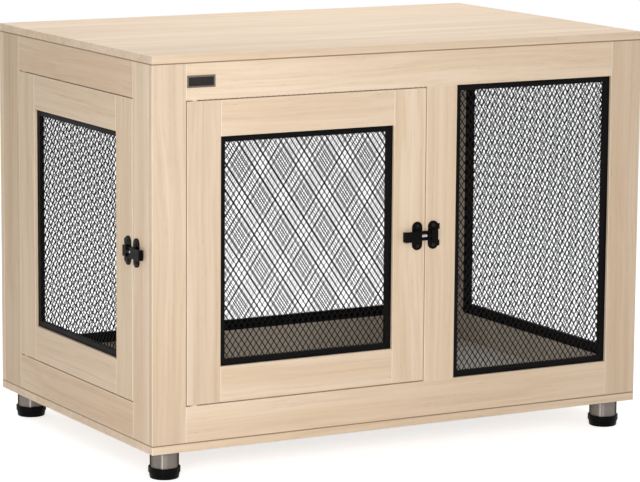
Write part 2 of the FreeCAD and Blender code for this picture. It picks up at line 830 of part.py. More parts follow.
def latch(name, housing_label, keeper_label, housing_timber, keeper_timber, housing_group, keeper_group):
    housing = latch_body(housing_label, name)
    far = "-sizes.housing_offset"
    near = "-sizes.housing_offset - sizes.latch_plate_width"
    guides = (f"{far} - sizes.guide_block_inset", f"-({SEAM_SIDE})")
    housing_middle = latch_plate(housing, near, far, guides)
    boss_at = (housing_middle, "sizes.boss_offset" if name == "front" else "-sizes.boss_offset", "0")
    latch_cylinder(housing, "Additive", "sizes.boss_radius", "sizes.boss_rise", boss_at)
    run = f"sizes.latch_plate_width + 2 * {OVERCUT}"
    start = (f"{near} - {OVERCUT}", "0", "sizes.rod_level")
    latch_cylinder(housing, "Subtractive", "sizes.rod_radius + sizes.running_play", run, start, ALONG)
    slot = "(sizes.stem_width / 2 + sizes.slide_play)"
    rise = ("sizes.rod_level", f"sizes.guide_block_rise + {OVERCUT}")
    latch_box(housing, "Subtractive", (f"{near} - {OVERCUT}", f"{far} + {OVERCUT}"), (f"-{slot}", slot), rise)

    keeper = latch_body(keeper_label, name)
    near = "sizes.keeper_offset"
    far = "sizes.keeper_offset + sizes.latch_plate_width"
    ear = (f"{far} - sizes.latch_plate_width / 2", f"{far} + sizes.keeper_ear")
    ears = (
        (ear, ("sizes.keeper_ear_low", "sizes.keeper_ear_high")),
        (ear, ("-sizes.keeper_ear_high", "-sizes.keeper_ear_low")),
    )
    guides = (SEAM_SIDE, f"{near} + sizes.guide_block_inset")
    keeper_middle = latch_plate(keeper, near, far, guides, ears)
    mouth = (f"{SEAM_SIDE} - {OVERCUT}", "0", "sizes.rod_level")
    bore_depth = f"sizes.socket_depth + {OVERCUT}"
    latch_cylinder(keeper, "Subtractive", f"{SOCKET_RADIUS} + sizes.fit_play", bore_depth, mouth, ALONG)

    socket = latch_body(f"{keeper_label}_socket", name)
    at_seam = (SEAM_SIDE, "0", "sizes.rod_level")
    latch_cylinder(socket, "Additive", SOCKET_RADIUS, "sizes.socket_depth", at_seam, ALONG)
    inner = "sizes.rod_radius + sizes.slide_play"
    depth = f"sizes.socket_depth - sizes.socket_wall + {OVERCUT}"
    latch_cylinder(socket, "Subtractive", inner, depth, mouth, ALONG)

    rod = latch_body(f"{name}_bolt_rod", name)
    tail = "-sizes.housing_offset - sizes.latch_plate_width - sizes.rod_tail"
    length = f"sizes.housing_offset + sizes.latch_plate_width + sizes.rod_tail - ({SEAM_SIDE})"
    latch_cylinder(rod, "Additive", "sizes.rod_radius", length, (tail, "0", "sizes.rod_level"), ALONG)
    stem_middle = "-sizes.housing_offset - sizes.latch_plate_width / 2"
    stem_run = (f"{stem_middle} - sizes.stem_length / 2", f"{stem_middle} + sizes.stem_length / 2")
    stem_across = ("-sizes.stem_width / 2", "sizes.stem_width / 2")
    rod_top = f"sizes.rod_level + sizes.rod_radius + {OVERCUT}"
    latch_box(rod, "Subtractive", stem_run, stem_across, ("sizes.rod_level", rod_top))

    thumb = latch_body(f"{name}_thumb_slide", name)
    cap_base = "sizes.guide_block_rise + sizes.slide_play"
    cap = ("-sizes.thumb_offset - sizes.thumb_length", "-sizes.thumb_offset")
    plate = latch_box(thumb, "Additive", cap, (f"-{HALF_BLOCK}", HALF_BLOCK), (cap_base, "sizes.latch_reach"))
    worn = thumb.newObject("PartDesign::Chamfer", f"{thumb.Name}_edges")
    worn.Base = (plate, [""])
    worn.UseAllEdges = True
    worn.setExpression("Size", "sizes.edge_break")
    lip = (cap[0], f"{cap[0]} + sizes.thumb_lip")
    lip_rise = ("sizes.thumb_lip_base", "sizes.latch_reach - sizes.edge_break")
    inset = f"({HALF_BLOCK} - sizes.edge_break)"
    latch_box(thumb, "Additive", lip, (f"-{inset}", inset), lip_rise)
    stem_rise = ("sizes.rod_level", "sizes.latch_reach - sizes.edge_break")
    latch_box(thumb, "Additive", stem_run, stem_across, stem_rise)

    _, seam = LATCHES[name]
    wall = "front" if name == "front" else "left"
    seam_place = seam[0] if name == "front" else seam[1]
    inwards = tuple(-part for part in outwards(wall))
    for piece, middle, group in (
        (housing_timber, housing_middle, housing_group),
        (keeper_timber, keeper_middle, keeper_group),
    ):
        for sign in ("-", "+"):
            up = f"places.latch_level {sign} sizes.latch_screw_spacing / 2"
            point = wall_point(wall, f"{seam_place} + {middle}", "0", up)
            hole = drill(piece, point, inwards, SCREW_HOLE, "sizes.screw_length")
            screw_seats[group].append((piece, hole, size("latch_plate_thickness")))


latch(
    "front",
    "front_bolt_housing",
    "front_keeper",
    front_door[3]["latch"],
    front_centre_stile,
    "front_door_screws",
    "cabinet_screws",
)
latch(
    "side",
    "side_bolt_housing",
    "side_keeper",
    left_front_post,
    side_door[3]["latch"],
    "cabinet_screws",
    "side_door_screws",
)

# ---- nameplate: a bare metal rim round a dark inlay, on the front's top rail ----

plate_left = "places.left_face + sizes.nameplate_inset"
plate_middle = "(places.opening_top + places.cabin_roof) / 2"
plate_across = (plate_left, f"{plate_left} + sizes.nameplate_width")
plate_rise = (f"{plate_middle} - sizes.nameplate_height / 2", f"{plate_middle} + sizes.nameplate_height / 2")
inlay_across = (f"{plate_across[0]} + sizes.nameplate_rim", f"{plate_across[1]} - sizes.nameplate_rim")
inlay_rise = (f"{plate_rise[0]} + sizes.nameplate_rim", f"{plate_rise[1]} - sizes.nameplate_rim")
recess_floor = "sizes.inlay_pocket - sizes.nameplate_thickness"
pocket_depth = (f"-sizes.nameplate_thickness - {OVERCUT}", recess_floor)
hand_in(
    block(
        "nameplate_bezel",
        slab("front", plate_across, ("-sizes.nameplate_thickness", "0"), plate_rise),
        cuts=[slab("front", inlay_across, pocket_depth, inlay_rise)],
    )
)
inlay_depth = (f"{recess_floor} - sizes.inlay_thickness", recess_floor)
hand_in(block("nameplate_inlay", slab("front", inlay_across, inlay_depth, inlay_rise)))

# ---- legs and feet: drawn about their own axis, z up from the floor ----

LEG_SCREWS = 3
for name, across, back in (
    ("front_left", "places.left_face + sizes.leg_inset_across", "places.front_face + sizes.leg_inset_back"),
    ("front_right", "places.right_face - sizes.leg_inset_across", "places.front_face + sizes.leg_inset_back"),
    ("back_left", "places.left_face + sizes.leg_inset_across", "places.back_face - sizes.leg_inset_back"),
    ("back_right", "places.right_face - sizes.leg_inset_across", "places.back_face - sizes.leg_inset_back"),
):
    leg = doc.addObject("PartDesign::Body", f"leg_{name}")
    bind_place(leg, (across, back, "0"))
    for kind, radius, low, high in (
        ("Additive", "sizes.leg_radius", "sizes.foot_shoulder", "sizes.leg_height"),
        (
            "Subtractive",
            "sizes.leg_radius - sizes.leg_wall",
            f"sizes.foot_shoulder - {OVERCUT}",
            "sizes.leg_height - sizes.leg_cap",
        ),
        (
            "Additive",
            "sizes.leg_radius - sizes.leg_wall / 2",
            "sizes.nut_plate_level",
            "sizes.nut_plate_level + sizes.nut_plate_thickness",
        ),
        (
            "Subtractive",
            "sizes.stud_radius + sizes.running_play",
            f"sizes.nut_plate_level - {OVERCUT}",
            f"sizes.nut_plate_level + sizes.nut_plate_thickness + {OVERCUT}",
        ),
    ):
        latch_cylinder(leg, kind, radius, f"({high}) - ({low})", ("0", "0", low))
    for number in range(LEG_SCREWS):
        turn = math.tau * number / LEG_SCREWS
        out_across = f"sizes.leg_screw_circle * {math.cos(turn):.6f}"
        out_back = f"sizes.leg_screw_circle * {math.sin(turn):.6f}"
        seat = "sizes.leg_height - sizes.leg_cap"
        cap_hole = f"sizes.leg_cap + {OVERCUT}"
        latch_cylinder(leg, "Subtractive", SCREW_HOLE, cap_hole, (out_across, out_back, seat))
        latch_cylinder(
            leg,
            "Subtractive",
            "sizes.access_radius",
            f"sizes.nut_plate_thickness + 2 * {OVERCUT}",
            (out_across, out_back, f"sizes.nut_plate_level - {OVERCUT}"),
        )
        hole = drill(
            bottom_board,
            (f"{across} + {out_across}", f"{back} + {out_back}", "places.underside"),
            UP,
            SCREW_HOLE,
            "sizes.screw_length - sizes.leg_cap + sizes.fit_play",
        )
        screw_seats["leg_screws"].append((bottom_board, hole, size("leg_cap")))
    hand_in(leg)

    foot = doc.addObject("PartDesign::Body", f"foot_{name}")
    bind_place(foot, (across, back, "0"))
    collar_base = "sizes.foot_height - sizes.collar_height"
    bevel = foot.newObject("PartDesign::AdditiveCone", f"{foot.Name}_bevel")
    bevel.setExpression("Radius1", "sizes.foot_radius - sizes.foot_bevel")
    bevel.setExpression("Radius2", "sizes.foot_radius")
    bevel.setExpression("Height", "sizes.foot_bevel")
    taper = foot.newObject("PartDesign::AdditiveCone", f"{foot.Name}_taper")
    taper.setExpression("Radius1", "sizes.foot_radius")
    taper.setExpression("Radius2", "sizes.foot_waist_radius")
    taper.setExpression("Height", f"{collar_base} - sizes.foot_bevel")
    taper.setExpression("Placement.Base.z", "sizes.foot_bevel")
    latch_cylinder(foot, "Additive", "sizes.collar_radius", "sizes.collar_height", ("0", "0", collar_base))
    recess = "sizes.leg_radius + sizes.collar_play"
    latch_cylinder(foot, "Subtractive", recess, "sizes.foot_height", ("0", "0", "sizes.foot_shoulder"))
    stud = ("sizes.stud_radius", "sizes.stud_length + sizes.stud_root")
    latch_cylinder(foot, "Additive", *stud, ("0", "0", "sizes.foot_shoulder - sizes.stud_root"))
    hand_in(foot)

doc.recompute()

# ---- what is placed by the finished pieces: mesh sheets, screws, cams and their bolts ----

for name, wall, frame, opening in mesh_openings:
    mesh_sheet(name, wall, frame, opening)


def fasteners(label, solids):
    group = doc.addObject("Part::Feature", label)
    group.Shape = Part.Compound(solids)
    return hand_in(group, len(solids))


def seat_of(body, hole):
    return body.Placement.multiply(hole.Placement)


def screw(lift):
    """A round-headed screw whose head lies lift above the mouth of its hole."""
    shank = Part.makeCylinder(size("screw_radius"), size("screw_length"), FreeCAD.Vector(0, 0, -lift))
    low = -lift - size("screw_head_height")
    head = Part.makeCylinder(size("screw_head_radius"), size("screw_head_height"), FreeCAD.Vector(0, 0, low))
    rim = [edge for edge in head.Edges if abs(edge.CenterOfMass.z - low) < 1e-6 and edge.isClosed()]
    head = head.makeFillet(size("screw_head_rounding"), rim)
    return head.fuse(shank).removeSplitter()


for label, seats in screw_seats.items():
    solids = []
    for body, hole, lift in seats:
        solid = screw(lift)
        solid.Placement = seat_of(body, hole)
        solids.append(solid)
    fasteners(label, solids)

cams = []
bolts = []
for (body, bore), (holder, bolt_hole) in zip(cam_seats, cam_bolt_seats):
    anchor = size("cam_bolt_anchor")
    bolt_length = anchor + size("cam_reach")
    bolt = Part.makeCylinder(size("cam_bolt_radius"), bolt_length, FreeCAD.Vector(0, 0, -anchor))
    bolt.Placement = seat_of(holder, bolt_hole)
    bolts.append(bolt)
    passage_radius = size("cam_bolt_radius") + size("fit_play")
    passage = Part.makeCylinder(passage_radius, bolt_length + size("fit_play"))
    passage.Placement = seat_of(holder, bolt_hole)
    lock = Part.makeCylinder(size("cam_radius"), size("cam_depth"))
    lock.Placement = seat_of(body, bore)
    cams.append(lock.cut(passage))
fasteners("cam_locks", cams)
fasteners("cam_bolts", bolts)
doc.recompute()

# ---- check and write ----

for thing in doc.Objects:
    if "Invalid" in thing.State or "Error" in thing.State:
        raise RuntimeError(f"{thing.Name} failed: {thing.State}")
os.makedirs("parts", exist_ok=True)
for thing, solids in sub_parts:
    shape = thing.Shape
    if shape.isNull() or not shape.isValid():
        raise RuntimeError(f"{thing.Label} has no valid shape")
    if len(shape.Solids) != solids:
        raise RuntimeError(f"{thing.Label} has {len(shape.Solids)} solids, not {solids}")
    shape.exportStep(f"parts/{thing.Label}.step")
print(len(sub_parts), "sub-parts written")
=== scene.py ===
"""Looks for the dog crate end table: oak-faced boards, black steel mesh windows, latches and legs.

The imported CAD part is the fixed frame. Its rigid nodes stay and get materials and fine bevels.
The coarse mesh sheets and the plain screws are replaced by detailed ones in the same places.
Metres, z up, the front faces -y.
"""

import json
import math

import bmesh
import bpy
from mathutils import Matrix, Vector

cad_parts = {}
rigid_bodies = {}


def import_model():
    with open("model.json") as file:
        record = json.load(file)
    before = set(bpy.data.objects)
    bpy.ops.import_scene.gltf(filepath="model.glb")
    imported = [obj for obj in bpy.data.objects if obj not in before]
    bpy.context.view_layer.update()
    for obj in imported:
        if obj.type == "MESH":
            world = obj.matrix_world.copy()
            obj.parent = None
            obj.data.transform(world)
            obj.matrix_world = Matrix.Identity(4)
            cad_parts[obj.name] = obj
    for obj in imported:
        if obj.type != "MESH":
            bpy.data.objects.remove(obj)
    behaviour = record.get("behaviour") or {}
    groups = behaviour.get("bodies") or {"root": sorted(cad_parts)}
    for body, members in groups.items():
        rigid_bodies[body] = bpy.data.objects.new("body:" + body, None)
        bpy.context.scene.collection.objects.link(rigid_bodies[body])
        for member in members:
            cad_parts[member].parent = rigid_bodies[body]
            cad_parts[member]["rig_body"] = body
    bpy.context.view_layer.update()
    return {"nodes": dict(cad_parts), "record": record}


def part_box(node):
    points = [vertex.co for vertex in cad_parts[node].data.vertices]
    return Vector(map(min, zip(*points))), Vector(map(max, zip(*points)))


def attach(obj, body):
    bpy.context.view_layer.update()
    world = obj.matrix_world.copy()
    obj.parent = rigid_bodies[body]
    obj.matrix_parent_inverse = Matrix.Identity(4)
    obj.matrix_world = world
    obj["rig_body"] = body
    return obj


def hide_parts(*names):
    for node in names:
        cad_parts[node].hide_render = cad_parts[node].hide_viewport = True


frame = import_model()
nodes = frame["nodes"]
MM = 0.001
PHOTO_WIDE = 640  # pixels

# ---- where the boards and walls are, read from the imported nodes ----

TOP_LOW, TOP_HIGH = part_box("top_board")
BASE_LOW, BASE_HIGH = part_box("bottom_board")
BOARD = TOP_HIGH.z - TOP_LOW.z
CABIN_LOW = Vector((TOP_LOW.x + BOARD, TOP_LOW.y + BOARD, BASE_HIGH.z))
CABIN_HIGH = Vector((TOP_HIGH.x - BOARD, TOP_HIGH.y - BOARD, TOP_LOW.z))


def slot_nodes(slot):
    return [s["node"] for s in frame["record"]["subparts"] if s["material_slot"] == slot]


# ---- camera: fitted to the table's corners in the photograph, without shift ----

CORNER = Vector((TOP_LOW.x, TOP_LOW.y, BASE_LOW.z))
CAMERA_AT = CORNER + Vector((-2.3874, -4.8559, 1.2704))
FOCAL_PIXELS = 3222.0
YAW, PITCH, ROLL = (math.radians(a) for a in (29.206, 9.391, 0.433))
SENSOR = 36.0  # millimetres, as the lens
SEES_TO = 100  # metres

camera = bpy.data.objects.new("camera", bpy.data.cameras.new("camera"))
bpy.context.scene.collection.objects.link(camera)
bpy.context.scene.camera = camera
camera.data.sensor_width = SENSOR
camera.data.lens = FOCAL_PIXELS * SENSOR / PHOTO_WIDE
camera.data.clip_end = SEES_TO
forward = Vector((math.sin(YAW) * math.cos(PITCH), math.cos(YAW) * math.cos(PITCH), -math.sin(PITCH)))
level = Vector((math.cos(YAW), -math.sin(YAW), 0))
upright = level.cross(forward)
right = level * math.cos(ROLL) + upright * math.sin(ROLL)
above = upright * math.cos(ROLL) - level * math.sin(ROLL)
camera.matrix_world = Matrix.Translation(CAMERA_AT) @ Matrix((right, above, -forward)).transposed().to_4x4()

# ---- node materials ----


def srgb(red, green, blue):
    """A colour written in 0 to 255, as the linear values that a shader takes."""

    def linear(value):
        value /= 255
        return value / 12.92 if value <= 0.04045 else ((value + 0.055) / 1.055) ** 2.4

    return (linear(red), linear(green), linear(blue), 1)


class Nodes:
    """A material's node tree, with short calls for the nodes that the materials here share."""

    def __init__(self, name):
        self.material = bpy.data.materials.new(name)
        self.material.use_nodes = True
        self.tree = self.material.node_tree
        self.shader = self.tree.nodes["Principled BSDF"]
        self.place = self.make("ShaderNodeTexCoord").outputs["Object"]

    def make(self, kind, **settings):
        node = self.tree.nodes.new(kind)
        for name, value in settings.items():
            setattr(node, name, value)
        return node

    def put(self, socket, value):
        if isinstance(value, bpy.types.NodeSocket):
            self.tree.links.new(value, socket)
        else:
            socket.default_value = value

    def math(self, operation, *values):
        node = self.make("ShaderNodeMath", operation=operation)
        for socket, value in zip(node.inputs, values):
            self.put(socket, value)
        return node.outputs[0]

    def vector(self, operation, *values):
        node = self.make("ShaderNodeVectorMath", operation=operation)
        for socket, value in zip(node.inputs, values):
            self.put(socket, value)
        return node.outputs[0]

    def stretch(self, scale, place=None):
        return self.vector("MULTIPLY", place or self.place, scale)

    def split(self, vector):
        node = self.make("ShaderNodeSeparateXYZ")
        self.put(node.inputs[0], vector)
        return node.outputs

    def largest(self, vector):
        x, y, z = self.split(vector)
        return self.math("MAXIMUM", self.math("MAXIMUM", x, y), z)

    def noise(self, place, scale, detail=3.0, roughness=0.5):
        node = self.make("ShaderNodeTexNoise")
        self.put(node.inputs["Vector"], place)
        for name, value in (("Scale", scale), ("Detail", detail), ("Roughness", roughness)):
            node.inputs[name].default_value = value
        return node.outputs["Fac"]

    def remap(self, value, low, high, to_low=0.0, to_high=1.0):
        node = self.make("ShaderNodeMapRange")
        for socket, number in zip(node.inputs, (value, low, high, to_low, to_high)):
            self.put(socket, number)
        return node.outputs[0]

    def mix(self, share, first, second):
        node = self.make("ShaderNodeMix", data_type="RGBA")
        self.put(node.inputs[0], share)
        self.put(node.inputs[6], first)
        self.put(node.inputs[7], second)
        return node.outputs[2]

    def bump(self, height, distance, strength):
        node = self.make("ShaderNodeBump")
        node.inputs["Distance"].default_value = distance
        node.inputs["Strength"].default_value = strength
        self.put(node.inputs["Height"], height)
        return node.outputs[0]

    def finish(self, **sockets):
        for name, value in sockets.items():
            self.put(self.shader.inputs[name.replace("_", " ")], value)
        return self.material


OAK_PALE = srgb(248, 226, 200)
OAK_WARM = srgb(237, 210, 179)
OAK_DARK = srgb(206, 175, 141)
OAK_INSIDE = srgb(198, 190, 179)
OAK_FLOOR = srgb(238, 238, 235)
OAK_EDGE_HIGHLIGHT = srgb(250, 234, 214)
OAK_JOINT_SHADOW = srgb(150, 118, 88)
OAK_PORE = srgb(160, 128, 96)
GRAIN_ORDER = {"x": "XYZ", "y": "YXZ", "z": "ZXY"}  # the axis along the grain comes first
NEXT_BOARD = (1.7, 0.61, 0.37)  # metres that the grain moves on from one board to the next
LINING_SKIN = 0.2 * MM  # takes in the faces that line the cabin
LINING_SHARE, EDGE_HIGHLIGHT_SHARE, JOINT_SHADOW_SHARE = 0.8, 0.7, 0.8  # how much of each tone covers the grain
EDGE_HIGHLIGHT_FROM, EDGE_HIGHLIGHT_FULL = 0.96, 0.9  # the largest part of the normal, where the painted edge highlight comes in
JOINT_SHADOW_LINE, JOINT_SHADOW_FADED = 0.9 * MM, 1.5 * MM  # from the joint to where its painted shadow line starts to fade and ends


def oak(axis, number, tint, lining):
    """Pale printed oak: its grain runs along one axis, and starts elsewhere on each board.

    lining is the greyer tone of the faces that line the cabin.
    """
    n = Nodes(f"oak_{axis}_{number}")
    place = n.split(n.place)
    along_grain = n.make("ShaderNodeCombineXYZ")
    for socket, letter in zip(along_grain.inputs, GRAIN_ORDER[axis]):
        n.put(socket, place[letter])
    board = n.vector("ADD", along_grain.outputs[0], [step * number for step in NEXT_BOARD])

    # each noise is stretched by its features per metre, few along the grain and many across it
    sway = n.noise(n.stretch((1.6, 5, 5), board), 1.0, 2.0)
    swayed = n.make("ShaderNodeCombineXYZ")
    n.put(swayed.inputs[1], n.math("MULTIPLY", n.math("SUBTRACT", sway, 0.5), 0.06))
    n.put(swayed.inputs[2], n.math("MULTIPLY", n.math("SUBTRACT", sway, 0.5), 0.05))
    bent = n.vector("ADD", board, swayed.outputs[0])

    bands = n.noise(n.stretch((0.9, 34, 34), bent), 1.0, 3.0, 0.55)
    streaks = n.noise(n.stretch((2.2, 160, 160), bent), 1.0, 4.0, 0.65)
    clouds = n.noise(n.stretch((1.2, 6, 6), board), 1.0, 2.0)
    pores = n.noise(n.stretch((38, 1500, 1500), bent), 1.0, 1.0)
    pore = n.remap(pores, 0.66, 0.74)
    pore = n.math("MULTIPLY", pore, n.remap(streaks, 0.45, 0.6))

    tone = n.mix(n.remap(bands, 0.35, 0.68), OAK_PALE, OAK_WARM)
    tone = n.mix(n.math("MULTIPLY", n.remap(streaks, 0.42, 0.72), 0.34), tone, OAK_DARK)
    tone = n.mix(n.math("MULTIPLY", n.remap(clouds, 0.4, 0.7), 0.16), tone, OAK_DARK)
    tone = n.mix(n.math("MULTIPLY", pore, 0.45), tone, OAK_PORE)

    middle = (CABIN_LOW + CABIN_HIGH) / 2
    half = (CABIN_HIGH - CABIN_LOW) / 2 + Vector((1, 1, 1)) * LINING_SKIN
    outward = n.vector("SUBTRACT", n.vector("ABSOLUTE", n.vector("SUBTRACT", n.place, middle)), half)
    inside = n.math("LESS_THAN", n.largest(outward), 0.0)
    tone = n.vector("MULTIPLY", tone, tint)
    tone = n.mix(n.math("MULTIPLY", inside, LINING_SHARE), tone, lining)

    # as in the photograph, rounded edges are paler, a painted highlight along them, and the joints with the
    # two boards are dark lines, a painted shadow in the gaps
    flattest = n.largest(n.vector("ABSOLUTE", n.make("ShaderNodeTexCoord").outputs["Normal"]))
    tone = n.mix(n.remap(flattest, EDGE_HIGHLIGHT_FROM, EDGE_HIGHLIGHT_FULL, 0.0, EDGE_HIGHLIGHT_SHARE), tone, OAK_EDGE_HIGHLIGHT)
    from_joint = n.math(
        "MINIMUM",
        n.math("ABSOLUTE", n.math("SUBTRACT", place["Z"], TOP_LOW.z)),
        n.math("ABSOLUTE", n.math("SUBTRACT", place["Z"], BASE_HIGH.z)),
    )
    # painted shadow in the joints with the top and bottom boards, kept off the faces inside the cabin
    line = n.remap(from_joint, JOINT_SHADOW_LINE, JOINT_SHADOW_FADED, JOINT_SHADOW_SHARE, 0.0)
    tone = n.mix(n.math("MULTIPLY", line, n.math("SUBTRACT", 1.0, inside)), tone, OAK_JOINT_SHADOW)

    grain = n.math("SUBTRACT", n.math("MULTIPLY", streaks, 0.5), n.math("MULTIPLY", pore, 1.0))
    return n.finish(
        Base_Color=tone,
        Roughness=n.remap(streaks, 0.3, 0.7, 0.44, 0.58),
        Specular_IOR_Level=0.32,
        Normal=n.bump(grain, 0.12 * MM, 0.5),
    )


def coated(name, colour, wear, roughness, orange_peel, gloss=0.5):
    """Coated metal or moulded plastic: fine texture in the surface, and a little dust and wear."""
    n = Nodes(name)
    patches = n.noise(n.place, 9.0, 4.0, 0.6)
    peel = n.noise(n.place, orange_peel, 2.0)
    return n.finish(
        Base_Color=n.mix(n.math("MULTIPLY", n.remap(patches, 0.45, 0.8), 0.5), colour, wear),
        Roughness=n.remap(patches, 0.3, 0.75, roughness - 0.06, roughness + 0.1),
        Specular_IOR_Level=gloss,
        Normal=n.bump(peel, 0.06 * MM, 0.45),
    )


def brushed(name, colour, dark, roughness, lines, stretch_and_dark_edges=0.0):
    """Bare metal with fine lines. Lines that run round a leg stretch its highlights up and down. Where they
    do, a dark edge tint paints shade along the metal's edges.
    """
    n = Nodes(name)
    scratches = n.noise(n.stretch(lines), 1.0, 3.0, 0.6)
    smears = n.noise(n.place, 30.0, 3.0)
    n.shader.inputs["Metallic"].default_value = 1.0
    n.shader.inputs["Anisotropic"].default_value = stretch_and_dark_edges
    # painted shade: the dark edge tint darkens the leg's reflection along its edges, as dark surroundings
    # would
    n.shader.inputs["Specular Tint"].default_value = (0.1, 0.1, 0.1, 1) if stretch_and_dark_edges else (1, 1, 1, 1)
    upwards = n.make("ShaderNodeCombineXYZ")
    upwards.inputs[2].default_value = 1.0
    n.put(n.shader.inputs["Tangent"], upwards.outputs[0])
    fine = n.remap(scratches, 0.3, 0.7, roughness - 0.05, roughness + 0.07)
    return n.finish(
        Base_Color=n.mix(n.remap(scratches, 0.3, 0.75), colour, dark),
        Roughness=n.math("ADD", fine, n.remap(smears, 0.4, 0.8, 0.0, 0.06)),
        Normal=n.bump(scratches, 0.02 * MM, 0.5),
    )


MATERIALS = {
    "black_steel": coated("black_steel", srgb(10, 8, 8), srgb(17, 14, 13), 0.5, 900.0, 0.08),
    "latch_black": coated("latch_black", srgb(8, 6, 5), srgb(22, 17, 13), 0.42, 700.0, 0.06),
    "screw_black": coated("screw_black", srgb(20, 17, 16), srgb(44, 38, 35), 0.4, 900.0, 0.2),
    "foot_plastic": coated("foot_plastic", srgb(5, 5, 6), srgb(10, 10, 11), 0.42, 600.0, 0.06),
    "stop_plastic": coated("stop_plastic", srgb(24, 24, 24), srgb(40, 40, 40), 0.5, 600.0),
    "nylon": coated("nylon", srgb(226, 224, 214), srgb(205, 201, 188), 0.45, 400.0),
    "leg_steel": brushed("leg_steel", srgb(138, 131, 125), srgb(100, 95, 90), 0.3, (40, 40, 4200), 0.9),
    "bright_steel": brushed("bright_steel", srgb(206, 200, 202), srgb(166, 160, 162), 0.22, (900, 900, 900)),
    "cam_zinc": brushed("cam_zinc", srgb(178, 178, 180), srgb(140, 140, 142), 0.42, (700, 700, 700)),
    "plate_rim": brushed("plate_rim", srgb(138, 124, 112), srgb(104, 94, 86), 0.28, (90, 90, 3600)),
    "plate_dark": coated("plate_dark", srgb(30, 24, 24), srgb(52, 44, 42), 0.3, 500.0, 0.3),
}

# Red, green and blue factors, fitted until each board's mean colour came near the photograph's.
# They may stand in for light that the lamps here don't give.
TINTS = {
    "front_right_stile": (0.92, 0.91, 0.9),
    "front_left_stile": (0.91, 0.91, 0.91),
    "front_door_hinge_stile": (0.91, 0.91, 0.91),
    "front_top_rail": (1.04, 1.05, 1.06),
    "left_back_stile": (0.86, 0.84, 0.79),
    "left_rails": (0.94, 0.91, 0.88),
    "side_door_latch_stile": (1.0, 1.01, 1.01),
    "side_door_hinge_stile": (0.95, 0.94, 0.91),
    "side_door_rails": (0.96, 0.95, 0.93),
}
GRAIN_ALONG_X = (
    "top_board",
    "bottom_board",
    "front_top_rail",
    "front_bottom_rail",
    "back_rails",
    "front_door_rails",
)
GRAIN_ALONG_Y = ("left_rails", "right_rails", "side_door_rails")


def dress(obj, material):
    obj.data.materials.clear()
    obj.data.materials.append(material)


for number, node in enumerate(slot_nodes("oak"), start=1):
    axis = "x" if node in GRAIN_ALONG_X else "y" if node in GRAIN_ALONG_Y else "z"
    lining = OAK_FLOOR if node == "bottom_board" else OAK_INSIDE
    dress(nodes[node], oak(axis, number, TINTS.get(node, (1, 1, 1)), lining))
for slot, material in MATERIALS.items():
    for node in slot_nodes(slot):
        dress(nodes[node], material)

# shown black, because a bright patch was seen over the keepers; its cause wasn't found
for node in ("front_keeper_socket", "side_keeper_socket"):
    dress(nodes[node], MATERIALS["latch_black"])

# ---- rounded edges on the metal and plastic nodes ----

FRAME_EDGE, LATCH_EDGE, KEEPER_EDGE, STOP_EDGE, BEZEL_EDGE = (r * MM for r in (0.8, 0.7, 0.05, 1.0, 0.5))
SAME_POINT = 0.002 * MM  # corners closer than this are one corner


def soften(node, radius, segments=2):
    """Rounds a node's sharp edges. The node's own mesh stays as it is."""
    obj = nodes[node]
    weld = obj.modifiers.new("weld", "WELD")
    weld.merge_threshold = SAME_POINT
    bevel = obj.modifiers.new("rounded", "BEVEL")
    bevel.width = radius
    bevel.segments = segments
    bevel.limit_method = "ANGLE"
    bevel.angle_limit = math.radians(35)
    bevel.harden_normals = False
    obj.data.polygons.foreach_set("use_smooth", [True] * len(obj.data.polygons))
    obj.modifiers.new("crisp", "WEIGHTED_NORMAL").keep_sharp = True


for node in slot_nodes("black_steel"):
    if node.endswith("frame"):
        soften(node, FRAME_EDGE)
for node in slot_nodes("latch_black"):
    soften(node, KEEPER_EDGE if node.endswith("keeper") else LATCH_EDGE, 3)
for node in slot_nodes("stop_plastic"):
    soften(node, STOP_EDGE)
soften("nameplate_bezel", BEZEL_EDGE)

# ---- expanded mesh at its real pitch ----

DIAMOND_WIDE, DIAMOND_HIGH = 11.5 * MM, 16.5 * MM
STRAND = 1.48 * MM  # fitted to the windows' brightness in the photograph; the solids have 2 mm
SHEET = 0.8 * MM
TWIST = 0.45 * MM  # how far each strand's edges stand out of the sheet, to the front and the back
WELDED_IN = 1.5 * MM  # how far the sheet's edges run into the frame's bars
SIDES = {"east": (1, 0), "north": (0, 1), "west": (-1, 0), "south": (0, -1)}


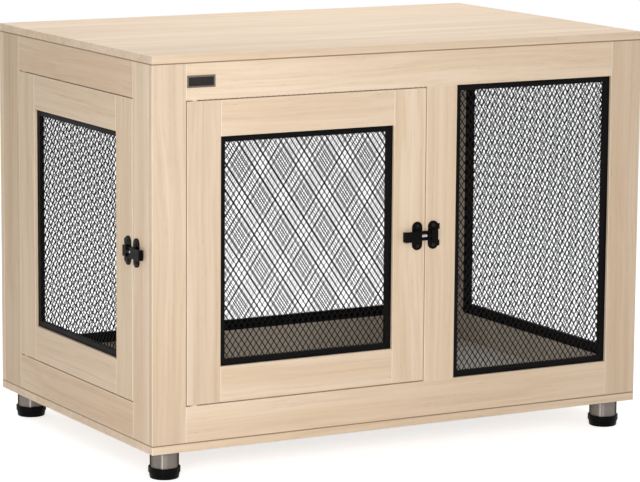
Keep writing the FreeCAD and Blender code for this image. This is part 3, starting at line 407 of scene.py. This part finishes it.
def expanded_mesh(node):
    """A sheet of slit and stretched steel: a lattice of twisted strands that cross in knuckles."""
    low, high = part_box(node)
    along_y = high.x - low.x < high.y - low.y
    across = (high.y - low.y) if along_y else (high.x - low.x)
    across += 2 * WELDED_IN
    rise = high.z - low.z + 2 * WELDED_IN
    columns, rows = round(across / DIAMOND_WIDE), round(rise / DIAMOND_HIGH)
    half_wide, half_high = across / columns / 2, rise / rows / 2
    slant = math.hypot(half_wide, half_high)
    knuckle_wide = STRAND / 2 * slant / half_high
    knuckle_high = STRAND / 2 * slant / half_wide
    middle = (low + high) / 2

    points, faces, corner = [], [], {}
    crossings = [(i, j) for j in range(2 * rows + 1) for i in range(2 * columns + 1) if (i + j) % 2 == 0]
    for i, j in crossings:
        for side, (u, v) in SIDES.items():
            flat = (
                -across / 2 + i * half_wide + u * knuckle_wide,
                -rise / 2 + j * half_high + v * knuckle_high,
            )
            for skin in (0, 1):
                depth = (skin - 0.5) * SHEET - v * TWIST
                corner[i, j, side, skin] = len(points)
                if along_y:
                    points.append(middle + Vector((depth, flat[0], flat[1])))
                else:
                    points.append(middle + Vector((flat[0], depth, flat[1])))

    def both_skins(*keys):
        faces.append([corner[(*key, 0)] for key in keys])
        faces.append([corner[(*key, 1)] for key in reversed(keys)])

    def wall(first, second):
        faces.append([corner[(*first, 0)], corner[(*first, 1)], corner[(*second, 1)], corner[(*second, 0)]])

    present = set(crossings)
    for i, j in crossings:
        here = {side: (i, j, side) for side in SIDES}
        both_skins(*here.values())
        for way, (near, far) in ((1, ("east", "north")), (-1, ("south", "east"))):
            there = (i + 1, j + way)
            if there in present:
                ends = ("south", "west") if way > 0 else ("west", "north")
                start, finish = here[near], (*there, ends[0])
                back, home = (*there, ends[1]), here[far]
                both_skins(start, finish, back, home)
                wall(finish, start)
                wall(home, back)
            else:
                wall(here[far], here[near])
        for way, (near, far) in ((1, ("north", "west")), (-1, ("west", "south"))):
            if (i - 1, j + way) not in present:
                wall(here[far], here[near])

    data = bpy.data.meshes.new(f"{node}_expanded")
    data.from_pydata(points, [], faces)
    shape = bmesh.new()
    shape.from_mesh(data)
    bmesh.ops.recalc_face_normals(shape, faces=shape.faces)
    shape.to_mesh(data)
    shape.free()
    piece = bpy.data.objects.new(f"{node}_expanded", data)
    bpy.context.scene.collection.objects.link(piece)
    dress(piece, MATERIALS["black_steel"])
    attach(piece, nodes[node]["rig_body"])
    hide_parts(node)


for node in slot_nodes("black_steel"):
    if not node.endswith("frame"):
        expanded_mesh(node)

# ---- screws with domed heads and cross recesses ----

# half a screw in millimetres, out from its axis and up: the head from its crown, then the shank
SCREW_PROFILE = (
    (0.0, 2.0),
    (1.4, 1.94),
    (2.5, 1.6),
    (3.2, 0.95),
    (3.5, 0.25),
    (3.5, 0.0),
    (1.75, 0.0),
    (1.75, -12.0),
    (0.0, -12.0),
)
HEAD_TOP = SCREW_PROFILE[0][1] * MM
HEAD_RADIUS = max(out for out, _ in SCREW_PROFILE) * MM
HEAD_RIM = 0.8 * HEAD_RADIUS  # a corner further from the axis than this is on the head
RECESS_ARM, RECESS_WIDTH, RECESS_DEPTH = 1.9 * MM, 0.75 * MM, 1.3 * MM
RECESS_TAPER = 0.55  # how long the recess's arms are at the bottom, as a share
STEPS_ROUND = 28
RECESS_TURN = 37  # degrees from one screw to the next, so that their recesses don't line up


def screw_template():
    """One screw, its head's underside at z = 0 and its shank along -z."""
    shape = bmesh.new()
    line = [shape.verts.new((r * MM, 0, z * MM)) for r, z in SCREW_PROFILE]
    edges = [shape.edges.new(pair) for pair in zip(line, line[1:])]
    bmesh.ops.spin(
        shape,
        geom=[*line, *edges],
        axis=(0, 0, 1),
        cent=(0, 0, 0),
        angle=math.tau,
        steps=STEPS_ROUND,
    )
    bmesh.ops.remove_doubles(shape, verts=shape.verts, dist=0.001 * MM)
    bmesh.ops.recalc_face_normals(shape, faces=shape.faces)
    body = bpy.data.meshes.new("screw")
    shape.to_mesh(body)
    shape.free()
    screw = bpy.data.objects.new("screw", body)
    cutters = []
    for turn in (0, math.pi / 2):
        cross = bmesh.new()
        bmesh.ops.create_cube(cross, size=1)
        bmesh.ops.scale(cross, vec=(2 * RECESS_ARM, RECESS_WIDTH, 2 * RECESS_DEPTH), verts=cross.verts)
        for vert in cross.verts:
            if vert.co.z < 0:
                vert.co.x *= RECESS_TAPER
        bmesh.ops.translate(cross, vec=(0, 0, HEAD_TOP), verts=cross.verts)
        bmesh.ops.rotate(cross, cent=(0, 0, 0), matrix=Matrix.Rotation(turn, 3, "Z"), verts=cross.verts)
        data = bpy.data.meshes.new("recess")
        cross.to_mesh(data)
        cross.free()
        cutter = bpy.data.objects.new("recess", data)
        cutters.append(cutter)
    for thing in (screw, *cutters):
        bpy.context.scene.collection.objects.link(thing)
    for cutter in cutters:
        cut = screw.modifiers.new("recess", "BOOLEAN")
        cut.operation = "DIFFERENCE"
        cut.solver = "EXACT"
        cut.object = cutter
    bpy.context.view_layer.update()
    made = bpy.data.meshes.new_from_object(screw.evaluated_get(bpy.context.evaluated_depsgraph_get()))
    for thing in (screw, *cutters):
        bpy.data.objects.remove(thing)
    return made


def islands(obj):
    """The corner points of each separate solid in a node. The solids keep their order at each run."""
    shape = bmesh.new()
    shape.from_mesh(obj.data)
    bmesh.ops.remove_doubles(shape, verts=shape.verts, dist=SAME_POINT)
    left = set(shape.verts)
    for first in shape.verts:
        if first not in left:
            continue
        left.remove(first)
        front = [first]
        island = []
        while front:
            vert = front.pop()
            island.append(vert.co.copy())
            for edge in vert.link_edges:
                other = edge.other_vert(vert)
                if other in left:
                    left.remove(other)
                    front.append(other)
        yield island
    shape.free()


def detailed_screws(node, template):
    """Puts a detailed screw over each plain one. The head is the wide end of each solid."""
    joined = bmesh.new()
    for number, island in enumerate(islands(nodes[node])):
        low = Vector(min(p[k] for p in island) for k in range(3))
        high = Vector(max(p[k] for p in island) for k in range(3))
        size = high - low
        long = max(range(3), key=lambda k: size[k])
        middle = (low + high) / 2
        wide = [
            p
            for p in island
            if (p - middle).length_squared - (p[long] - middle[long]) ** 2 > HEAD_RIM**2
        ]
        out = Vector((0, 0, 0))
        out[long] = 1 if sum(p[long] for p in wide) / len(wide) > middle[long] else -1
        seat = middle.copy()
        seat[long] = min((p[long] for p in wide), key=lambda z: z * out[long])
        turn = Matrix.Rotation(math.radians(RECESS_TURN * number % 90), 4, "Z")
        place = Matrix.Translation(seat) @ out.to_track_quat("Z", "Y").to_matrix().to_4x4() @ turn
        copy = template.copy()
        copy.transform(place)
        joined.from_mesh(copy)
        bpy.data.meshes.remove(copy)
    data = bpy.data.meshes.new(f"{node}_detailed")
    joined.to_mesh(data)
    joined.free()
    piece = bpy.data.objects.new(f"{node}_detailed", data)
    bpy.context.scene.collection.objects.link(piece)
    dress(piece, MATERIALS["screw_black"])
    data.polygons.foreach_set("use_smooth", [False] * len(data.polygons))
    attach(piece, nodes[node]["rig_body"])
    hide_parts(node)


template = screw_template()
for node in slot_nodes("screw_black"):
    detailed_screws(node, template)

# ---- floor, background and light ----

AMBIENT = 0.38
WHITE_LIFT = 0.7  # added to the floor where the camera sees it, so that it meets the background
REACH = 30.0  # metres of floor to each side


def seen_directly(tree):
    """1 for rays from the camera and for reflections, 0 for light that bounces between surfaces."""
    path = tree.nodes.new("ShaderNodeLightPath")
    share = path.outputs["Is Camera Ray"]
    for name in ("Is Glossy Ray", "Is Transmission Ray"):
        either = tree.nodes.new("ShaderNodeMath")
        either.operation = "MAXIMUM"
        tree.links.new(share, either.inputs[0])
        tree.links.new(path.outputs[name], either.inputs[1])
        share = either.outputs[0]
    return share


world = bpy.data.worlds.new("studio")
bpy.context.scene.world = world
world.use_nodes = True
tree = world.node_tree
strength = tree.nodes.new("ShaderNodeMapRange")
tree.links.new(seen_directly(tree), strength.inputs[0])
strength.inputs[3].default_value = AMBIENT
strength.inputs[4].default_value = 1.0
tree.links.new(strength.outputs[0], tree.nodes["Background"].inputs["Strength"])
tree.nodes["Background"].inputs["Color"].default_value = (1, 1, 1, 1)

floor_data = bpy.data.meshes.new("floor")
floor_corners = [(-REACH, -REACH, 0), (REACH, -REACH, 0), (REACH, REACH, 0), (-REACH, REACH, 0)]
floor_data.from_pydata(floor_corners, [], [(0, 1, 2, 3)])
floor = bpy.data.objects.new("floor", floor_data)
bpy.context.scene.collection.objects.link(floor)
pale = Nodes("pale_floor")
speckle = pale.noise(pale.place, 6.0, 4.0)
pale.put(pale.shader.inputs["Base Color"], pale.mix(speckle, srgb(238, 238, 238), srgb(232, 232, 233)))
pale.shader.inputs["Roughness"].default_value = 0.9
pale.shader.inputs["Specular IOR Level"].default_value = 0.1
pale.put(pale.shader.inputs["Emission Color"], (1, 1, 1, 1))
pale.put(pale.shader.inputs["Emission Strength"], pale.math("MULTIPLY", seen_directly(pale.tree), WHITE_LIFT))
dress(floor, pale.material)


def lamp(name, place, aim, size, power):
    light = bpy.data.lights.new(name, "AREA")
    light.shape = "RECTANGLE"
    light.size, light.size_y = size
    light.energy = power
    obj = bpy.data.objects.new(name, light)
    bpy.context.scene.collection.objects.link(obj)
    obj.location = place
    obj.rotation_euler = (Vector(aim) - Vector(place)).to_track_quat("-Z", "Y").to_euler()
    obj.visible_camera = False


# metres and watts; the powers are fitted to the photograph's mean colours
lamp("overhead", (0.3, 0.6, 2.2), (0, 0.1, 0.7), (1.2, 1.2), 14)
lamp("back_softbox", (-0.5, 2.8, 1.6), (0.0, 0.1, 0.2), (1.2, 1.2), 8)
lamp("front_softbox", (-1.2, -2.8, 1.4), (-0.1, -0.3, 0.4), (1.0, 1.0), 28)
lamp("low_strip", (-1.79, -1.76, 0.3), (-0.45, -0.27, 0.1), (0.2, 0.8), 12)

bpy.context.scene.view_settings.view_transform = "Standard"
